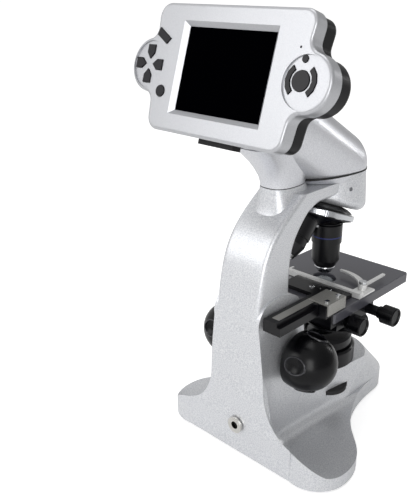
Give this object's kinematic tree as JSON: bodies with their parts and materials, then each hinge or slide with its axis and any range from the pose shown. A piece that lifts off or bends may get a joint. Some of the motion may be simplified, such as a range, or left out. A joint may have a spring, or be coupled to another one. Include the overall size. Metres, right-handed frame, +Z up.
{
  "type": "lcd digital microscope",
  "caption": "Upright laboratory microscope with a swivelling screen head, keys beside the display, tilted nosepiece, mechanical stage, focus knobs and a lobed base with a lamp.",
  "frame": {"origin": "middle of the footprint on the table", "axes": "+Z up, +X to the right of the person at the screen, +Y away from them towards the stage"},
  "size_m": [0.1664, 0.2158, 0.3334],
  "materials": {
    "silver_paint": "silver metallic paint on cast aluminium",
    "black_cover": "black painted sheet",
    "rubber": "moulded rubber",
    "nickel": "nickel plated",
    "socket_black": "moulded black plastic",
    "knob_black": "glossy black moulded plastic",
    "wheel_black": "matt black moulded plastic",
    "black_paint": "satin black enamel on aluminium",
    "stage_black": "satin anodised dark grey",
    "lens_glass": "polished glass",
    "circuit": "circuit board with lamp",
    "steel": "ground steel",
    "chrome": "bright chrome",
    "brass": "machined brass",
    "satin_aluminium": "satin aluminium",
    "head_paint": "silver painted plastic",
    "bezel_silver": "light silver brushed paint",
    "shell_black": "black moulded plastic",
    "display": "dark display glass",
    "key_white": "light grey moulded key",
    "key_black": "black moulded key",
    "key_grey": "dark grey moulded key"
  },
  "bodies": {
    "stand": {"stand_casting": "silver_paint", "base_cover": "black_cover", "rubber_feet": "rubber", "jack_shell": "nickel", "jack_insert": "socket_black", "lamp_housing": "black_paint", "lamp_lens": "lens_glass", "lamp_board": "circuit", "lock_screw": "steel", "nose_cap": "black_paint", "nose_pivot": "steel"},
    "brightness": {"brightness_wheel": "wheel_black"},
    "focus": {"focus_shaft": "steel", "focus_pinion": "brass", "focus_knob_right": "knob_black", "focus_knob_left": "knob_black"},
    "stage": {"stage_carrier": "black_paint", "focus_rack": "brass", "stage_plate": "stage_black", "condenser_mount": "black_paint", "condenser_lens": "lens_glass", "disc_screw": "steel", "stage_guide": "black_paint", "vernier_plate": "satin_aluminium", "vernier_screws": "chrome"},
    "diaphragm": {"diaphragm_disc": "black_paint"},
    "long_way": {"long_slide": "black_paint", "scale_strip": "satin_aluminium"},
    "cross_way": {"slide_holder": "satin_aluminium", "finger_nut": "chrome"},
    "finger": {"spring_finger": "satin_aluminium"},
    "far_drive": {"far_drive_shaft": "steel", "far_drive_knob": "knob_black"},
    "near_drive": {"near_drive_shaft": "steel", "near_drive_knob": "knob_black"},
    "turret": {"nose_ring": "chrome", "turret_disc": "black_paint", "objective_40x": "black_paint", "tip_40x": "chrome", "objective_4x": "black_paint", "tip_4x": "chrome", "objective_10x": "black_paint", "tip_10x": "chrome"},
    "head": {"head_hood": "head_paint", "neck_fairing": "head_paint", "camera_module": "socket_black", "screen_bezel": "bezel_silver", "screen_glass": "display", "display_module": "socket_black", "rear_shell": "shell_black"},
    "key_right_body": {"key_right": "key_white"},
    "key_up_body": {"key_up": "key_white"},
    "key_left_body": {"key_left": "key_white"},
    "key_down_body": {"key_down": "key_white"},
    "key_menu_body": {"key_menu": "key_white"},
    "key_power_body": {"key_power": "key_white"},
    "key_enter_body": {"key_enter": "key_grey"},
    "key_top_body": {"key_top": "key_grey"},
    "key_arc_left_body": {"key_arc_left": "key_black"},
    "key_arc_right_body": {"key_arc_right": "key_grey"}
  },
  "joints": [
    {"name": "stage_focus", "type": "slide", "parent": "stand", "child": "stage", "axis": [0, 0, 1], "range_m": [-0.007, 0.0025]},
    {"name": "focus_turn", "type": "hinge", "parent": "stand", "child": "focus", "pos_m": [0, -0.0398, 0.084], "axis": [1, 0, 0], "range_deg": [-53, 19.5]},
    {"name": "brightness_turn", "type": "hinge", "parent": "stand", "child": "brightness", "pos_m": [0.018, 0.0212, 0.028], "axis": [0, 0, 1], "range_deg": [-135, 135]},
    {"name": "diaphragm_turn", "type": "hinge", "parent": "stage", "child": "diaphragm", "pos_m": [0.015, 0.0322, 0.085], "axis": [0, 0, 1], "continuous": true},
    {"name": "long_travel", "type": "slide", "parent": "stage", "child": "long_way", "axis": [0, 1, 0], "range_m": [0, 0.03]},
    {"name": "cross_travel", "type": "slide", "parent": "long_way", "child": "cross_way", "axis": [1, 0, 0], "range_m": [-0.015, 0.02]},
    {"name": "finger_open", "type": "hinge", "parent": "cross_way", "child": "finger", "pos_m": [0.038, 0.0302, 0.122], "axis": [0, 0, 1], "range_deg": [-25, 0], "stiffness_Nm_per_rad": 0.05, "springref_deg": 11.46},
    {"name": "near_turn", "type": "hinge", "parent": "stage", "child": "near_drive", "pos_m": [0.04, 0.0042, 0.1025], "axis": [1, 0, 0], "range_deg": [-290, 290]},
    {"name": "far_turn", "type": "hinge", "parent": "stage", "child": "far_drive", "pos_m": [0.04, 0.0352, 0.1025], "axis": [1, 0, 0], "range_deg": [-195, 195]},
    {"name": "turret_turn", "type": "hinge", "parent": "stand", "child": "turret", "pos_m": [0, 0.01622, 0.17381], "axis": [0, 0.342, 0.9397], "continuous": true},
    {"name": "head_swivel", "type": "hinge", "parent": "stand", "child": "head", "pos_m": [0, 0.0322, 0.2125], "axis": [0, 0, 1], "range_deg": [-170, 170]},
    {"name": "key_right_press", "type": "slide", "parent": "head", "child": "key_right_body", "axis": [0, 0.9563, -0.2924], "range_m": [0, 0.0006], "stiffness_N_per_m": 600, "springref_m": -0.0006},
    {"name": "key_up_press", "type": "slide", "parent": "head", "child": "key_up_body", "axis": [0, 0.9563, -0.2924], "range_m": [0, 0.0006], "stiffness_N_per_m": 600, "springref_m": -0.0006},
    {"name": "key_left_press", "type": "slide", "parent": "head", "child": "key_left_body", "axis": [0, 0.9563, -0.2924], "range_m": [0, 0.0006], "stiffness_N_per_m": 600, "springref_m": -0.0006},
    {"name": "key_down_press", "type": "slide", "parent": "head", "child": "key_down_body", "axis": [0, 0.9563, -0.2924], "range_m": [0, 0.0006], "stiffness_N_per_m": 600, "springref_m": -0.0006},
    {"name": "key_menu_press", "type": "slide", "parent": "head", "child": "key_menu_body", "axis": [0, 0.9563, -0.2924], "range_m": [0, 0.0006], "stiffness_N_per_m": 600, "springref_m": -0.0006},
    {"name": "key_power_press", "type": "slide", "parent": "head", "child": "key_power_body", "axis": [0, 0.9563, -0.2924], "range_m": [0, 0.0006], "stiffness_N_per_m": 600, "springref_m": -0.0006},
    {"name": "key_enter_press", "type": "slide", "parent": "head", "child": "key_enter_body", "axis": [0, 0.9563, -0.2924], "range_m": [0, 0.0006], "stiffness_N_per_m": 600, "springref_m": -0.0006},
    {"name": "key_top_press", "type": "slide", "parent": "head", "child": "key_top_body", "axis": [0, 0.9563, -0.2924], "range_m": [0, 0.0006], "stiffness_N_per_m": 600, "springref_m": -0.0006},
    {"name": "key_arc_left_press", "type": "slide", "parent": "head", "child": "key_arc_left_body", "axis": [0, 0.9563, -0.2924], "range_m": [0, 0.0006], "stiffness_N_per_m": 600, "springref_m": -0.0006},
    {"name": "key_arc_right_press", "type": "slide", "parent": "head", "child": "key_arc_right_body", "axis": [0, 0.9563, -0.2924], "range_m": [0, 0.0006], "stiffness_N_per_m": 600, "springref_m": -0.0006}
  ],
  "couplings": [
    {"joint": "focus_turn", "follows": "stage_focus", "rad_per_m": 129.87},
    {"joint": "near_turn", "follows": "long_travel", "rad_per_m": 166.67},
    {"joint": "far_turn", "follows": "cross_travel", "rad_per_m": 166.67}
  ]
}
